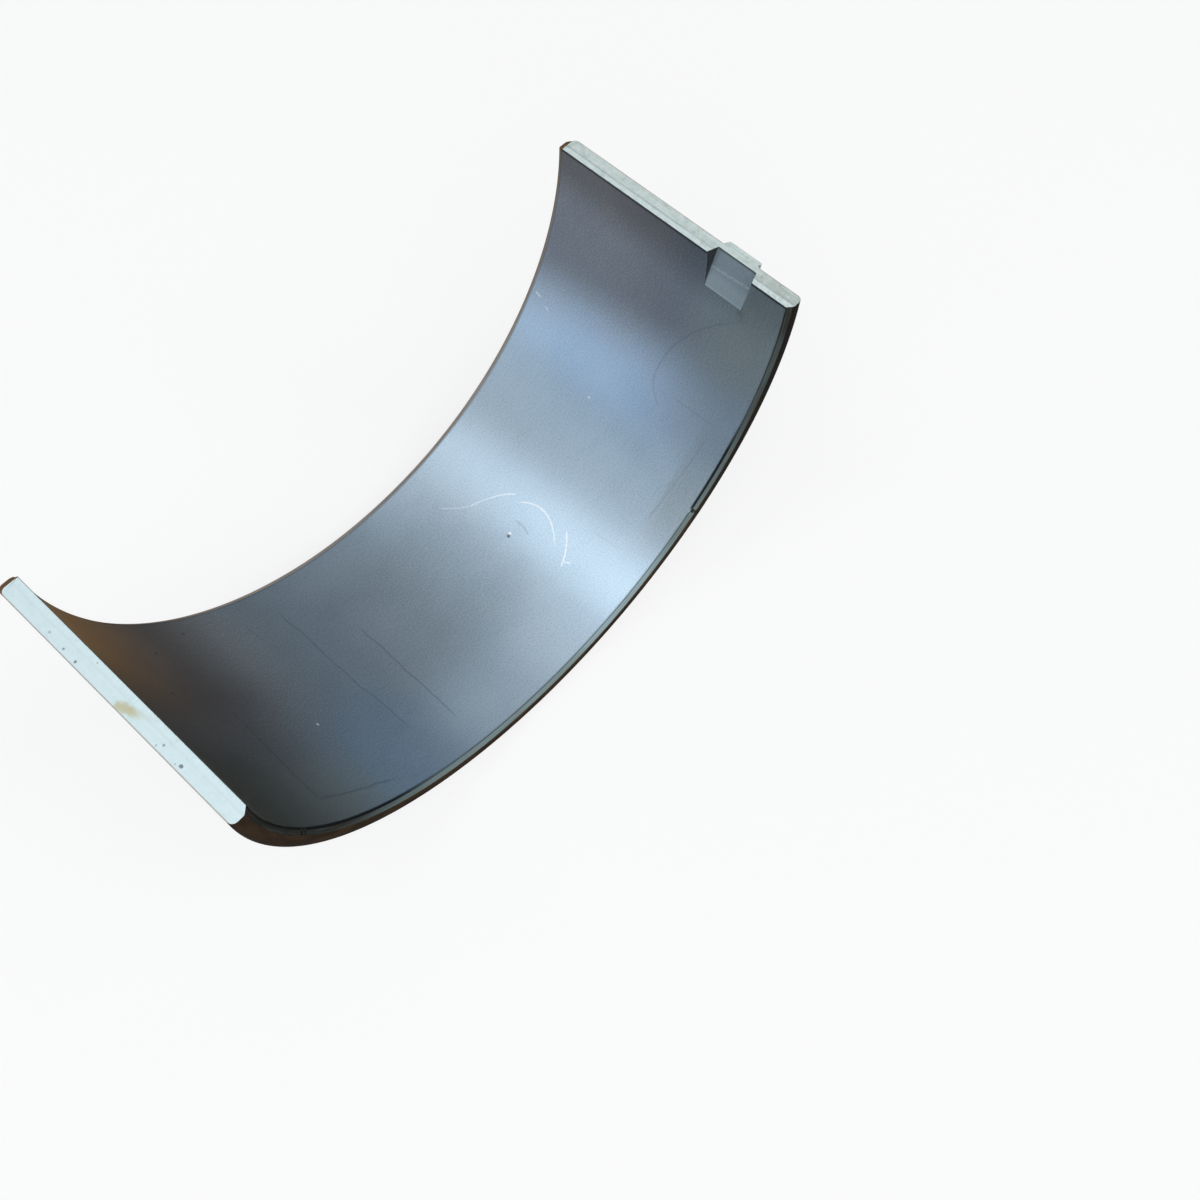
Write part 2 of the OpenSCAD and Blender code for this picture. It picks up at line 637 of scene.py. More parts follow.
@dataclass(frozen=True)
class PartingFinish:
    """Ground parting face: pale steel with a lining layer inside, grind marks, stain and pits."""

    bore_r: float
    lug_y: float
    lining: Colour = tone(234, 250, 252)
    steel: Colour = tone(214, 229, 225)
    cool: Colour = tone(228, 250, 255)
    stain: Colour = tone(200, 188, 132)
    dark: Colour = tone(70, 72, 70)
    olive: Colour = tone(138, 142, 124)
    rust: Colour = tone(176, 132, 96)
    wall: float = 3.5
    layer: float = 1.25
    metallic: float = 0.18
    roughness: float = 0.42
    grain_height: float = 0.004
    ground: Texture = Texture(0.9, 4.5, 0.0, 2.0)
    speckle: Texture = Texture(4.0, 4.0, 3.0, 2.0)
    streak: Texture = Texture(3.2, 0.09, 5.0, 3.0)
    cloud: Texture = Texture(0.5, 0.25, 9.0, 3.0)
    wander: Texture = Texture(0.8, 0.8, 13.0, 3.0)
    scuff: Texture = Texture(1.5, 0.3, 17.0, 3.0)
    lugged_x: Span = (-1.0, 1.0)
    layer_edge: Span = (0.1, -0.1)
    seam_gap: Span = (0.34, 0.04)
    seam_streak: Span = (0.2, 0.55)
    inner_brink: Span = (0.3, 0.14)
    outer_brink: Span = (-0.2, 0.02)
    soaked: Span = (0.05, 1.25)
    soaked_speckle: Span = (0.0, 0.5)
    scraped_y: Span = (-17.6, -19.0)
    handled_y: Span = (-14.0, -24.0)
    handled_scuff: Span = (0.3, 0.55)
    lug_side: Span = (3.6, 4.3)
    stains: tuple[Spot, ...] = (
        Spot(-63.0, -1.2, 1.0, 0.7, 0.0),
        Spot(-62.6, -2.0, 1.5, 1.0, 0.0),
        Spot(-62.3, -3.0, 1.5, 1.0, 0.0),
        Spot(-62.1, -4.0, 1.3, 0.8, 0.0),
        Spot(-61.7, -5.0, 1.3, 0.6, 0.0),
        Spot(-61.0, -6.2, 1.2, 0.4, 0.0),
        Spot(-60.5, -7.6, 1.4, 0.35, 0.0),
        Spot(-60.4, -9.6, 1.4, 0.3, 0.0),
        Spot(-60.5, -12.0, 1.5, 0.35, 0.0),
    )
    pits: tuple[Spot, ...] = (
        Spot(-62.38, 15.06, 0.3, 0.5),
        Spot(-62.66, 11.38, 0.27, 0.8),
        Spot(-62.76, 8.40, 0.32),
        Spot(-60.68, 5.93, 0.2, 0.6),
        Spot(-62.97, -10.37, 0.24, 0.6),
        Spot(-62.19, -11.16, 0.27, 0.8),
        Spot(-62.56, -15.43, 0.4),
        Spot(-62.89, -14.54, 0.25, 0.4),
        Spot(63.89, -17.60, 0.4, 0.9),
    )

    def material(self) -> bpy.types.Material:
        """Makes the parting faces' material.

        Returns:
            The material.
        """
        nodes = Nodes("shell_parting_face")
        x, y, _ = nodes.place()
        ground, speckle = self.ground.noise(nodes, x, y), self.speckle.noise(nodes, x, y)
        streak, cloud = self.streak.noise(nodes, x, y), self.cloud.noise(nodes, x, y)
        wander, scuff = self.wander.noise(nodes, x, y), self.scuff.noise(nodes, x, y)

        depth = abs(x) - self.bore_r / MM
        past_layer = depth - self.layer
        lugged = x.ramp(*self.lugged_x)
        inside = past_layer.ramp(*self.layer_edge)
        seam = abs(past_layer).ramp(*self.seam_gap) * streak.ramp(*self.seam_streak)
        brink = (depth + speckle * 0.2).ramp(*self.inner_brink)
        beside_lug = abs(y - self.lug_y / MM).ramp(*self.lug_side).over(1.0 - lugged)
        outer_brink = (depth + speckle * 0.15 - self.wall).ramp(*self.outer_brink) * beside_lug

        stray_x, stray_y = x + wander.swing(0.9), y + cloud.swing(1.6)
        soaked = total([spot.mask(stray_x, stray_y) for spot in self.stains])
        stain = soaked.ramp(*self.soaked) * speckle.ramp(*self.soaked_speckle)
        chip_x, chip_y = x + speckle.swing(0.35), y + ground.swing(0.35)
        pits = together([spot.mask(chip_x, chip_y) for spot in self.pits])
        marks = (seam * (lugged * 0.24 + 0.06)).over(brink * 0.4).over(pits * 0.75)

        scraped = lugged * y.ramp(*self.scraped_y)
        worn = streak.swing(lugged * 0.35 + 0.15) + scuff.swing(lugged * 0.5 + 0.2)
        across = ground.swing(inside * 0.35 + 0.15)
        fine = speckle.swing(lugged * 0.45 + scraped * 0.5 + 0.2)
        patch = wander.swing(lugged * 0.8 + scraped * 1.2 + 0.3)
        shade = worn + across + fine + patch
        near_lug_end = lugged * (1.0 - inside) * y.ramp(*self.handled_y)
        near_lug_end = near_lug_end * scuff.ramp(*self.handled_scuff)

        colour = nodes.layers(
            self.steel,
            (inside * 0.45, self.lining),
            ((1.0 - lugged) * 0.85, self.cool),
            (shade.positive(), WHITE),
            ((-shade).positive().over(near_lug_end * 0.4), self.olive),
            (outer_brink * 0.55, self.rust),
            (marks, self.dark),
            (stain * 0.75, self.stain),
        )
        roughness = self.roughness + ground.swing(0.3) + stain * 0.15
        height = ground * 0.6 + streak * 0.4 - pits
        return nodes.surface(colour, self.metallic, roughness, height, self.grain_height)


@dataclass(frozen=True)
class EdgeFinish:
    """Turned ends: a grey chamfer inside, with painted shade and highlight, and a dark brown end
    face outside, its brown a painted reflection of warm surroundings.
    """

    bore_r: float
    chamfer: Colour = tone(122, 139, 141)
    gleam: Colour = tone(146, 166, 172)
    # Painted light: the far chamfer is the same turned face as the near one, painted paler and
    # warmer.
    far_chamfer: Colour = tone(188, 180, 172)
    shaded: Colour = tone(40, 38, 34)
    # Painted reflection: the end face's dark brown stands in for warm, dark surroundings that it
    # mirrors.
    end: Colour = tone(58, 46, 32)
    rust: Colour = tone(80, 62, 42)
    # Light brown laid on the far bevel.
    far_bevel_tan: Colour = tone(150, 124, 96)
    groove: Colour = tone(24, 27, 30)
    grazing: Colour = tone(120, 108, 94)
    split: float = 0.86
    far_split: float = 0.66
    metallic: float = 0.85
    roughness: float = 0.5
    grain_height: float = 0.006
    turned: Texture = Texture(0.12, 9.0, 2.0, 2.0)
    cloud: Texture = Texture(0.16, 0.8, 0.1, 3.0)
    grain: Texture = Texture(2.4, 2.4, 2.4, 2.0)
    near_y: Span = (1.0, -1.0)
    past_split: Span = (0.0, 0.15)
    bevel_z: Span = (-1.25, -1.05)
    dim_lug_side: Span = (26.0, 76.0)
    dim_under_face: Span = (70.0, 90.0)
    dim_plain_side: Span = (-24.0, -62.0)
    gleam_arc: Band = Band(2.0, 16.0, 26.0, 38.0)
    rust_cloud: Span = (0.42, 0.66)
    lip_depth: Span = (0.34, 0.14)
    brim_depth: Span = (0.2, 0.1)
    lug_side_end_shade_arc: Span = (30.0, 66.0)
    chips: tuple[Spot, ...] = (
        Spot(44.5, 0.45, 0.6, 0.9),
        Spot(-70.5, 0.55, 0.5, 0.95),
        Spot(-69.3, 0.55, 0.45, 0.8),
    )

    def material(self) -> bpy.types.Material:
        """Makes the end edges' material.

        Returns:
            The material.
        """
        nodes = Nodes("shell_end_edge")
        x, y, z = nodes.place()
        arc, depth = round_arc(x, z, self.bore_r), off_wall(x, z, self.bore_r)
        turned = self.turned.noise(nodes, arc, depth, y)
        cloud = self.cloud.noise(nodes, arc, depth, y)
        grain = self.grain.noise(nodes, x, y, z)

        near = y.ramp(*self.near_y)
        split = near * (self.split - self.far_split) + self.far_split
        outside = (depth + grain * 0.1 - split).ramp(*self.past_split)
        bevel = (1.0 - near) * z.ramp(*self.bevel_z)
        # Painted shade: the chamfer darkens toward both parting faces, more at the near end.
        dim = (arc.ramp(*self.dim_lug_side) * 0.76).over(arc.ramp(*self.dim_under_face) * 0.92)
        dim = dim.over(arc.ramp(*self.dim_plain_side) * 0.94) * (near * 0.45 + 0.55)
        # Painted highlight on the near chamfer, between arcs 2 and 38.
        gleam = self.gleam_arc.mask(arc) * near
        rust = cloud.ramp(*self.rust_cloud) * (outside * 0.5 + 0.1)
        # Painted shade, named oiled: the near end face darkens toward the lugged side from arc 30.
        lug_side_end_shade = outside * arc.ramp(*self.lug_side_end_shade_arc) * near
        # Painted shadow: a dark line along the bore's edge on the near chamfer, under the lining's
        # lip; the chips are real dents.
        under_lip_shadow = depth.ramp(*self.lip_depth) * turned_over(arc)
        edge_shadow = under_lip_shadow.over(depth.ramp(*self.brim_depth) * 0.6)
        chips = together([spot.mask(arc, depth) for spot in self.chips])
        streak = turned.swing(1.0 - outside) * near
        fleck = grain.swing(0.5).positive() * (1.0 - dim * 0.85)

        colour = nodes.layers(
            self.far_chamfer,
            (near, self.chamfer),
            (gleam * 0.85, self.gleam),
            (dim, self.shaded),
            (outside, self.end),
            (rust, self.rust),
            (lug_side_end_shade * 0.75, self.groove),
            (bevel, self.far_bevel_tan),
            ((-streak).positive(), self.groove),
            ((streak * 0.8).positive(), self.gleam),
            (fleck, self.chamfer),
            (edge_shadow.over(chips) * near, self.groove),
        )
        roughness = self.roughness + turned.swing(0.3)
        height = turned * 0.7 + grain * 0.3
        metal = (colour, self.metallic, roughness)
        return nodes.surface(*metal, height, self.grain_height, self.grazing)


@dataclass(frozen=True)
class PocketFinish:
    """Pressed wedge behind the lug: slate grey with rub lines, and painted shade that makes its
    side walls almost black.
    """

    lug_y: float
    half_floor: float
    floor: Colour = tone(134, 150, 160)
    lightened: Colour = tone(176, 192, 200)
    # Painted shade colour of the side walls and the top brink; it also darkens the grain.
    wall: Colour = tone(36, 34, 34)
    metallic: float = 0.8
    roughness: float = 0.45
    grain_height: float = 0.008
    pressed: Texture = Texture(4.0, 0.7, 0.0, 3.0)
    grain: Texture = Texture(2.5, 2.5, 4.0, 3.0)
    wall_shade_edge: Span = (-0.15, 0.12)
    lower_z: Span = (-3.4, -5.6)
    rub_z: float = -3.5
    rub_lean: float = 0.06
    rub_gap: Span = (0.42, 0.08)
    rub_grain: Span = (0.3, 0.6)
    lip_z: Span = (-7.1, -7.4)
    brink_shadow_z: Span = (-0.45, -0.2)

    def material(self) -> bpy.types.Material:
        """Makes the pocket's material.

        Returns:
            The material.
        """
        nodes = Nodes("shell_pocket")
        _, y, z = nodes.place()
        side = y - self.lug_y / MM
        pressed, grain = self.pressed.noise(nodes, side, z), self.grain.noise(nodes, side, z)
        # Painted shade: the pocket's side walls are laid almost black, and a dark line runs under
        # its top brink.
        wall = (abs(side) - self.half_floor / MM).ramp(*self.wall_shade_edge)
        lower = (z + pressed.swing(2.0)).ramp(*self.lower_z)
        rub = abs(z - self.rub_z + side * self.rub_lean).ramp(*self.rub_gap)
        rub = rub * grain.ramp(*self.rub_grain)
        lip, brink = z.ramp(*self.lip_z), z.ramp(*self.brink_shadow_z)
        shade = pressed.swing(0.5) + grain.swing(0.5)
        colour = nodes.layers(
            self.floor,
            ((lower * 0.3).over(rub * 0.55).over(lip * 0.6), self.lightened),
            ((-shade).positive(), self.wall),
            (shade.positive(), self.lightened),
            ((wall * 0.9).over(brink * 0.6), self.wall),
        )
        roughness = self.roughness + grain.swing(0.25)
        height = pressed * 0.5 + grain * 0.5
        return nodes.surface(colour, self.metallic, roughness, height, self.grain_height)


@dataclass(frozen=True)
class BackFinish:
    """Steel back: turned grain round the shell, oil tarnish, and bright rubs on the lug."""

    back_r: float
    steel: Colour = tone(156, 160, 160)
    tarnish: Colour = tone(116, 110, 102)
    lightened: Colour = tone(196, 201, 202)
    dark: Colour = tone(64, 62, 60)
    metallic: float = 0.85
    roughness: float = 0.42
    grain_height: float = 0.005
    turned: Texture = Texture(0.1, 6.0, 0.0, 2.0)
    band: Texture = Texture(0.015, 0.22, 5.0, 4.0)
    patch: Texture = Texture(0.16, 0.2, 9.0, 4.0)
    grain: Texture = Texture(2.2, 2.2, 8.0, 3.0)
    rubs: Texture = Texture(0.02, 0.9, 2.0, 3.0)
    stain_cloud: Span = (0.4, 0.68)
    worn_rubs: Span = (0.5, 0.72)
    crest_proud: Span = (0.5, 1.1)
    root_shade_proud: Band = Band(0.005, 0.05, 0.1, 0.5)

    def material(self) -> bpy.types.Material:
        """Makes the back's material.

        Returns:
            The material.
        """
        nodes = Nodes("shell_back")
        x, y, z = nodes.place()
        arc, proud = round_arc(x, z, self.back_r), off_wall(x, z, self.back_r)
        turned, grain = self.turned.noise(nodes, arc, y), self.grain.noise(nodes, arc, y)
        band, patch = self.band.noise(nodes, arc, y), self.patch.noise(nodes, arc, y)
        rubs = self.rubs.noise(nodes, arc, y)
        stain = (band * 0.5 + patch * 0.5).ramp(*self.stain_cloud)
        worn = rubs.ramp(*self.worn_rubs)
        # Painted shade: root darkens the back where the lug rises from it.
        crest, root = proud.ramp(*self.crest_proud), self.root_shade_proud.mask(proud)
        shade = turned.swing(0.4) + grain.swing(0.4)
        colour = nodes.layers(
            self.steel,
            (worn * 0.3, self.lightened),
            (stain * 0.35, self.tarnish),
            (crest * 0.5, self.lightened),
            (root * 0.6, self.dark),
            ((-shade).positive(), self.dark),
            (shade.positive(), self.lightened),
        )
        roughness = self.roughness + stain * 0.15 + turned.swing(0.25)
        height = turned * 0.6 + grain * 0.4
        return nodes.surface(colour, self.metallic, roughness, height, self.grain_height)


class Region(IntEnum):
    """Part of the shell's surface that has a finish of its own."""

    LINING = 0
    PARTING = 1
    EDGE = 2
    POCKET = 3
    BACK = 4


@dataclass(frozen=True)
class Nick:
    """Small dent in the inner edge of the -Y end, at an angle in degrees."""

    angle: float
    width: float
    depth: float


def rounded(
    corners: Sequence[tuple[float, float]], radii: Sequence[float], steps: int
) -> np.ndarray:
    """Outline through corners, each inner corner replaced by an arc that touches both its sides.

    The arc starts radius * tan(turn / 2) before the corner and swings by the turn between sides.

    Args:
        corners: Points of the outline. The first and the last are its ends.
        radii: Radius of each inner corner.
        steps: Number of pieces in each arc.

    Returns:
        Points in order, one a row. The last corner is left out.
    """
    spots = np.asarray(corners, dtype=float)
    stretches = [spots[:1]]
    for before, corner, after, radius in zip(spots, spots[1:], spots[2:], radii):
        go_in = (corner - before) / np.linalg.norm(corner - before)
        go_out = (after - corner) / np.linalg.norm(after - corner)
        turn = math.atan2(go_in[0] * go_out[1] - go_in[1] * go_out[0], float(go_in @ go_out))
        start = corner - go_in * radius * math.tan(abs(turn) / 2)
        side = np.array([-go_in[1], go_in[0]]) * math.copysign(1.0, turn)
        swing = np.linspace(0.0, abs(turn), steps + 1)[:, None]
        arc = start + radius * (np.sin(swing) * go_in + (1.0 - np.cos(swing)) * side)
        stretches.append(arc)
    return np.concatenate(stretches)


def soft_over(first: np.ndarray, second: np.ndarray, blend: float) -> np.ndarray:
    """The larger of two heights, with the crossing rounded: (a + b + hypot(a - b, blend)) / 2."""
    return (first + second + np.hypot(first - second, blend)) / 2


def soft_under(first: np.ndarray, second: np.ndarray, blend: float) -> np.ndarray:
    """The smaller of two heights, with the crossing rounded as in soft_over."""
    return -soft_over(-first, -second, blend)


@dataclass(frozen=True)
class Wedge:
    """Flat wedge that leans in to meet a round wall: top = start - drop * tan(lean).

    start is the distance of its top from the bore axis, level with the axis, and radius is the
    wall's. The top is half wide to each side and meets the wall at a drop of length. Each side
    slants by flank over the full height, and blend rounds the edges of the top.
    """

    start: float
    radius: float
    length: float
    half: float
    flank: float
    blend: float
    least: float = 0.12 * MM

    def lean(self) -> float:
        """Angle by which the top leans in."""
        return math.atan2(self.start - math.sqrt(self.radius**2 - self.length**2), self.length)

    def slant(self) -> float:
        """Way across that a side takes for each metre of its height."""
        return self.flank / (self.start - self.radius)

    def top(self, drop: np.ndarray) -> np.ndarray:
        """Distance of the top from the bore axis at each drop below it."""
        return self.start - drop * math.tan(self.lean())

    def reach(self, drop: np.ndarray) -> np.ndarray:
        """Half the width where the sides meet the wall: half + hypot(height * slant, least).

        Args:
            drop: Drop of each row below the bore axis.

        Returns:
            Half the width of each row.
        """
        wall = np.sqrt(np.maximum(self.radius**2 - drop**2, 0.0))
        height = np.where(drop < self.length, self.top(drop) - wall, 0.0) * math.cos(self.lean())
        return self.half + np.hypot(height * self.slant(), self.least)

    def surface(self, across: np.ndarray, drop: np.ndarray) -> np.ndarray:
        """Top and sides together: the softly smaller of the top and a side that falls away.

        Args:
            across: Distance of each point from the wedge's middle, rows by columns.
            drop: Drop of each row below the bore axis.

        Returns:
            Distance from the bore axis, rows by columns.
        """
        top = np.broadcast_to(self.top(drop)[:, None], across.shape)
        rise = 1.0 / (self.slant() * math.cos(self.lean()))
        return soft_under(top, top - (across - self.half) * rise, self.blend)


@dataclass
class BearingShell:
    """The half shell as one closed surface: a wall section carried round the bore axis.

    Rows are sections at an angle from the lowest line of the bore. Columns run round the section,
    along the inner side from -Y to +Y and back along the outer side. Turns in the fields are
    degrees, and least_turn, the least angle between rows, is radians.
    """

    bore_r: float
    back_r: float
    half_width: float
    crest_r: float
    lug_y: float
    chamfer_radial: float = 1.15 * MM
    chamfer_axial: float = 1.0 * MM
    far_radial: float = 0.7 * MM
    far_axial: float = 1.15 * MM
    outer_round: float = 1.1 * MM
    heel_round: float = 0.85 * MM
    edge_round: float = 0.06 * MM
    far_bevel: float = 1.5 * MM
    far_drop: float = 1.1 * MM
    lug_length: float = 6.0 * MM
    half_crest: float = 3.65 * MM
    lug_flank: float = 0.45 * MM
    crest_round: float = 0.22 * MM
    pocket_depth: float = 2.3 * MM
    pocket_length: float = 7.6 * MM
    half_floor: float = 4.25 * MM
    pocket_flank: float = 0.85 * MM
    pocket_round: float = 0.06 * MM
    wedge_margin: float = 2.0 * MM
    nick_fade: float = 0.4 * MM
    fine_turn: float = 80.0
    run_out_turn: float = 0.08
    coarse_rows: int = 120
    fine_rows: int = 44
    bevel_rows: int = 6
    nick_rows: int = 13
    nick_reach: float = 3.0
    least_turn: float = 2e-4
    brink_turns: tuple[float, ...] = (30.0, 60.0, 90.0)
    pocket_knots: tuple[int, int] = (1, 4)
    arc_steps: int = 5
    nicks: tuple[Nick, ...] = (
        Nick(42.5, 0.35 * MM, 0.32 * MM),
        Nick(-67.3, 0.18 * MM, 0.2 * MM),
        Nick(-66.2, 0.18 * MM, 0.2 * MM),
    )
    columns: np.ndarray = field(init=False)

    def __post_init__(self) -> None:
        """Sets the columns along the width, closer together at the sides of lug and pocket."""
        wall = np.array([0.0, 0.07, 0.16, 0.32, 0.5, 0.68, 0.84, 0.93])
        near = np.array([0.0, 0.012, 0.03])
        flat = np.concatenate([near, np.linspace(0.1, 0.9, 9), 1.0 - near[:0:-1]])
        long = np.concatenate([near / 4, np.linspace(0.02, 0.98, 30), 1.0 - near[:0:-1] / 4])
        stretches = [flat, wall, flat, wall, long]
        steps = [index + stretch for index, stretch in enumerate(stretches)]
        self.columns = np.concatenate(steps)[1:]

    def angles(self) -> np.ndarray:
        """Angles of the rows, closer together by the lug and at the nicks.

        Returns:
            Rising angles in radians, from the plain parting face to the lugged one.
        """
        brink = math.pi / 2 - math.asin(self.edge_round / self.bore_r)
        near = math.radians(self.fine_turn)
        run_outs = [
            math.acos(self.pocket_length / self.bore_r),
            math.acos(self.lug_length / self.back_r),
        ]
        beside = np.radians([-self.run_out_turn, 0.0, self.run_out_turn])
        bevel = np.arcsin(np.linspace(0.1, 1.0, self.bevel_rows) * self.far_drop / self.bore_r)
        stretches = [
            np.linspace(-brink, near, self.coarse_rows),
            np.linspace(near, brink, self.fine_rows),
            np.add.outer(run_outs, beside).ravel(),
            bevel - math.pi / 2,
            math.pi / 2 - bevel,
        ]
        for nick in self.nicks:
            reach = self.nick_reach * nick.width / self.bore_r
            turns = np.linspace(-reach, reach, self.nick_rows)
            stretches.append(math.radians(nick.angle) + turns)
        rows = np.unique(np.round(np.concatenate(stretches), 7))
        return rows[np.concatenate([[True], np.diff(rows) > self.least_turn])]

    def spread(self, knots: Sequence[np.ndarray | float], rows: int) -> np.ndarray:
        """Places of the columns: straight steps from knot to knot along the width.

        Args:
            knots: Place of each knot, one value or one for each row.
            rows: Number of rows.

        Returns:
            Places along the bore axis, rows by columns.
        """
        table = np.stack([np.broadcast_to(knot, rows) for knot in knots], axis=1)
        left = np.minimum(self.columns.astype(int), len(knots) - 2)
        share = self.columns - left
        return table[:, left] * (1.0 - share) + table[:, left + 1] * share

    def end_chain(self, outer: bool, far: bool = False) -> np.ndarray:
        """Outline of an end, from the middle of its end face to the bore or to the back.

        Args:
            outer: True for the side of the back.
            far: True for the +Y end, whose outline is given as if it were at -Y.

        Returns:
            Radius and place along the bore axis, one point a row.
        """
        end = -self.half_width
        radial = self.far_radial if far else self.chamfer_radial
        axial = self.far_axial if far else self.chamfer_axial
        middle = (self.bore_r + radial + self.back_r - self.outer_round) / 2
        if outer:
            corners = [(middle, end), (self.back_r, end), (self.back_r, 0.0)]
            return rounded(corners, [self.outer_round], 2 * self.arc_steps + 1)
        corners = [
            (middle, end),
            (self.bore_r + radial, end),
            (self.bore_r, end + axial),
            (self.bore_r, 0.0),
        ]
        return rounded(corners, [self.heel_round, self.edge_round], self.arc_steps)

    def lug(self) -> Wedge:
        """The lug on the back."""
        sizes = (self.lug_length, self.half_crest, self.lug_flank, self.crest_round)
        return Wedge(self.crest_r, self.back_r, *sizes)

    def pocket(self) -> Wedge:
        """The pocket in the bore, behind the lug."""
        sizes = (self.pocket_length, self.half_floor, self.pocket_flank, self.pocket_round)
        return Wedge(self.bore_r + self.pocket_depth, self.bore_r, *sizes)

    def bevelled(self, y: np.ndarray, outer: bool, angles: np.ndarray) -> np.ndarray:
        """Flat bevel at the +Y corners: setback = far_bevel * (1 - drop / far_drop).

        The bevel cuts the inner edge off, and the rounding of the outer edge follows it.

        Args:
            y: Places along the bore axis, rows by columns.
            outer: True for the side of the back.
            angles: Angle of each row.

        Returns:
            Places that the bevel leaves.
        """
        drop = self.bore_r * np.cos(angles)[:, None]
        setback = self.far_bevel * np.clip(1.0 - drop / self.far_drop, 0.0, 1.0)
        return y - setback if outer else np.minimum(y, self.half_width - setback)

    def side(self, outer: bool, angles: np.ndarray) -> np.ndarray:
        """One side of the wall: x = r sin a, z = -r cos a, then x pushed out by a wedge.

        Args:
            outer: True for the back with its lug, False for the bore with its pocket.
            angles: Angle of each row.

        Returns:
            Points of the grid, rows by columns by three.
        """
        chain, far_chain = self.end_chain(outer), self.end_chain(outer, True)
        sine, cosine = np.sin(angles)[:, None], np.cos(angles)[:, None]
        wedge = self.lug() if outer else self.pocket()
        radius, half = wedge.radius, wedge.half
        drop = np.where(sine > 0.0, radius * cosine, 2.0 * radius)[:, 0]
        reach = wedge.reach(drop)
        knots = [chain[-1, 1], self.lug_y - reach, self.lug_y - half]
        far_end = self.bevelled(-far_chain[-1:, 1], outer, angles)[:, 0]
        knots += [self.lug_y + half, self.lug_y + reach, far_end]
        y = self.spread(knots, len(angles))[:, :-1]
        x = radius * np.broadcast_to(sine, y.shape)
        z = -radius * np.broadcast_to(cosine, y.shape)
        across, margin = np.abs(y - self.lug_y), self.wedge_margin
        close = (drop[:, None] < wedge.length + margin) & (across < half + margin)
        pushed = soft_over(x, wedge.surface(across, drop), self.pocket_round)
        limit = np.maximum(x, wedge.top(drop)[:, None])
        x = np.where(close, np.minimum(pushed, limit), x)
        middle = np.stack([x, y, z], axis=-1)
        return np.concatenate(
            [self.swept(chain, angles, outer), middle, self.swept(far_chain, angles, outer, -1.0)],
            axis=1,
        )

    def swept(
        self, chain: np.ndarray, angles: np.ndarray, outer: bool, end: float = 1.0
    ) -> np.ndarray:
        """One end's outline carried round the bore axis, with nicks in the inner edge of -Y.

        A nick pushes the chamfer out by depth * exp(-(arc / width)^2), and fades over nick_fade.

        Args:
            chain: Outline of the end, as if it were at -Y.
            angles: Angle of each row.
            outer: True for the side of the back.
            end: 1 for the -Y end, -1 for the +Y end, in turned order.

        Returns:
            Points of the grid, rows by columns by three.
        """
        radius = np.broadcast_to(chain[:, 0], (len(angles), len(chain)))
        y = np.broadcast_to(chain[:, 1] * end, radius.shape)
        if end < 0.0:
            y = self.bevelled(y, outer, angles)
        elif not outer:
            inward = self.bore_r + self.chamfer_radial - chain[:, 0]
            reach = np.clip(inward / self.nick_fade, 0.0, 1.0)
            for nick in self.nicks:
                arc = (angles - math.radians(nick.angle)) * self.bore_r / nick.width
                radius = radius + nick.depth * np.exp(-(arc**2))[:, None] * reach
        x = radius * np.sin(angles)[:, None]
        z = -radius * np.cos(angles)[:, None]
        points = np.stack([x, y, z], axis=-1)
        return points if end > 0.0 else points[:, ::-1]

    def loops(self) -> tuple[np.ndarray, np.ndarray]:
        """All rows as closed loops, with the brinks of both parting faces broken.

        Near a parting face the loop draws in along its own normals by r (1 - cos t) while it
        rises by r sin t.

        Returns:
            Points of the grid, rows by columns by three, and the angle of each row.
        """
        angles = self.angles()
        inner, outer = self.side(False, angles), self.side(True, angles)
        grid = np.concatenate([inner, outer[:, -2:0:-1]], axis=1)
        swing = np.radians(self.brink_turns)[:, None]
        stretches = [grid]
        for row in (0, -1):
            loop = grid[row, :, :2]
            along = np.roll(loop, -1, axis=0) - np.roll(loop, 1, axis=0)
            normal = np.stack([along[:, 1], -along[:, 0]], axis=1)
            normal /= np.linalg.norm(normal, axis=1, keepdims=True)
            ring = np.roll(loop, -1, axis=0)
            area = np.sum(loop[:, 0] * ring[:, 1] - loop[:, 1] * ring[:, 0]) / 2
            pull = self.edge_round * (1.0 - np.cos(swing)) * math.copysign(1.0, area)
            flat = loop[None] - pull[..., None] * normal[None]
            lift = grid[row, :, 2] * (1.0 - np.sin(swing))
            rows = np.concatenate([flat, lift[..., None]], axis=2)
            stretches = [rows[::-1], *stretches] if row == 0 else [*stretches, rows]
        quarter = np.full(len(self.brink_turns), math.pi / 2)
        return np.concatenate(stretches), np.concatenate([-quarter, angles, quarter])

    def faces(self, rows: int, count: int) -> np.ndarray:
        """Quads between neighbouring rows, then a cap of quads across each parting face.

        Args:
            rows: Number of rows.
            count: Number of columns.

        Returns:
            Indices of each face's corners, four a row.
        """
        row, col = np.meshgrid(np.arange(rows - 1), np.arange(count), indexing="ij")
        follow = (col + 1) % count
        lower, upper = row * count, (row + 1) * count
        wall = np.stack([lower + col, lower + follow, upper + follow, upper + col], axis=-1)
        step = np.arange(count // 2)
        mate, mate_next = (count - step) % count, (count - step - 1) % count
        cap = np.stack([step, mate, mate_next, step + 1], axis=1)
        last_row = (rows - 1) * count
        return np.concatenate([wall.reshape(-1, 4), cap, cap[:, ::-1] + last_row])

